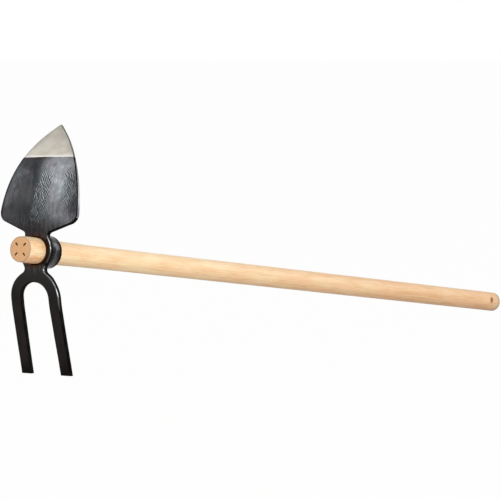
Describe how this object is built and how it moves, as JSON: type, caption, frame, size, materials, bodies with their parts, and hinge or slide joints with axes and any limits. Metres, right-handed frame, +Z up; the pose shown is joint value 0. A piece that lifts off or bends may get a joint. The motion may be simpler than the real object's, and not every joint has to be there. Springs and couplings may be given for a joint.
{
  "type": "double hoe",
  "caption": "Long-handled double hoe: a heart-shaped forged blade above the eye, a tined fork below it, on a turned wooden handle that swells into the eye.",
  "frame": {"origin": "centre of the footprint, on the floor that the tine ends and the butt of the handle stand on", "axes": "+X from the head to the butt, along the handle's plan direction; +Y across the head, the tool being alike on both sides; +Z up, with the blade above the fork"},
  "size_m": [0.9952, 0.0998, 0.2607],
  "materials": {
    "lacquered_steel": "forged steel, dark lacquer with a blue-grey sheen; the blade's tip is ground bare",
    "turned_beech": "turned and lightly oiled, pale straw to honey"
  },
  "bodies": {
    "root": {"forged_head": "lacquered_steel", "handle": "turned_beech"}
  },
  "joints": []
}
